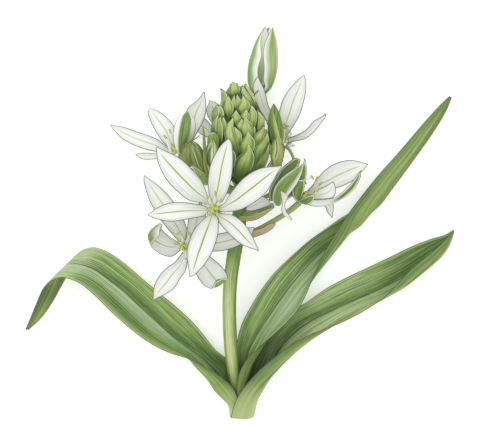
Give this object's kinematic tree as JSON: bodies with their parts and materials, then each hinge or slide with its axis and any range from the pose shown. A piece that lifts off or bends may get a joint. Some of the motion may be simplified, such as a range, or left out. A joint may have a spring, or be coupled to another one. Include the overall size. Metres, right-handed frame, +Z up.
{
  "type": "cut star-of-bethlehem plant",
  "caption": "Cut flowering bulb plant with strap leaves, open star flowers, a cone of packed buds and loose side buds, lying on a surface.",
  "frame": {"origin": "bottom centre of the bounding box, on the surface the plant lies on", "axes": "+Y from the cut foot of the stalk towards the top bud, +Z up from the surface, +X across the spread leaves"},
  "size_m": [0.137, 0.1248, 0.03],
  "materials": {
    "leaf_green": "satin leaf with parallel veins, lighter along the edges",
    "stem_green": "satin ribbed stalk, darker on one side",
    "bud_green": "matte bud with pale pointed tips",
    "bud_white": "matte white bud with green stripes",
    "tepal_white": "soft white petal with fine grey veins and a green midrib",
    "pistil_stamens": "yellow-green ovary with white filaments and olive anthers"
  },
  "bodies": {
    "root": {"bud_cone": "bud_green", "flower_stalk": "stem_green", "front_flower_centre": "pistil_stamens", "front_flower_tepal_1": "tepal_white", "front_flower_tepal_2": "tepal_white", "front_flower_tepal_3": "tepal_white", "front_flower_tepal_4": "tepal_white", "front_flower_tepal_5": "tepal_white", "front_flower_tepal_6": "tepal_white", "half_open_flower_curled_tepal": "tepal_white", "half_open_flower_tepal_front": "tepal_white", "half_open_flower_tepal_left": "tepal_white", "half_open_flower_tepal_rear": "tepal_white", "half_open_flower_tepal_right": "tepal_white", "leaf_left": "leaf_green", "leaf_lower_right": "leaf_green", "leaf_upper_right": "leaf_green", "lower_left_flower_centre": "pistil_stamens", "lower_left_flower_tepal_1": "tepal_white", "lower_left_flower_tepal_2": "tepal_white", "lower_left_flower_tepal_3": "tepal_white", "lower_left_flower_tepal_4": "tepal_white", "lower_left_flower_tepal_5": "tepal_white", "lower_left_flower_tepal_6": "tepal_white", "rear_flower_centre": "pistil_stamens", "rear_flower_tepal_1": "tepal_white", "rear_flower_tepal_2": "tepal_white", "rear_flower_tepal_3": "tepal_white", "rear_flower_tepal_4": "tepal_white", "rear_flower_tepal_5": "tepal_white", "rear_flower_tepal_6": "tepal_white", "right_flower_centre": "pistil_stamens", "right_flower_tepal_1": "tepal_white", "right_flower_tepal_2": "tepal_white", "right_flower_tepal_3": "tepal_white", "right_flower_tepal_4": "tepal_white", "right_flower_tepal_5": "tepal_white", "right_flower_tepal_6": "tepal_white", "side_bract_left": "bud_green", "side_bud_inner": "bud_green", "side_bud_left_front": "bud_green", "side_bud_left_small": "bud_green", "side_bud_right_lower": "bud_green", "side_bud_right_upper": "bud_green", "top_bud": "bud_white", "upper_left_flower_centre": "pistil_stamens", "upper_left_flower_tepal_1": "tepal_white", "upper_left_flower_tepal_2": "tepal_white", "upper_left_flower_tepal_3": "tepal_white", "upper_left_flower_tepal_4": "tepal_white", "upper_left_flower_tepal_5": "tepal_white", "upper_left_flower_tepal_6": "tepal_white", "upper_right_flower_centre": "pistil_stamens", "upper_right_flower_tepal_1": "tepal_white", "upper_right_flower_tepal_2": "tepal_white", "upper_right_flower_tepal_3": "tepal_white", "upper_right_flower_tepal_4": "tepal_white", "upper_right_flower_tepal_5": "tepal_white", "upper_right_flower_tepal_6": "tepal_white"}
  },
  "joints": []
}
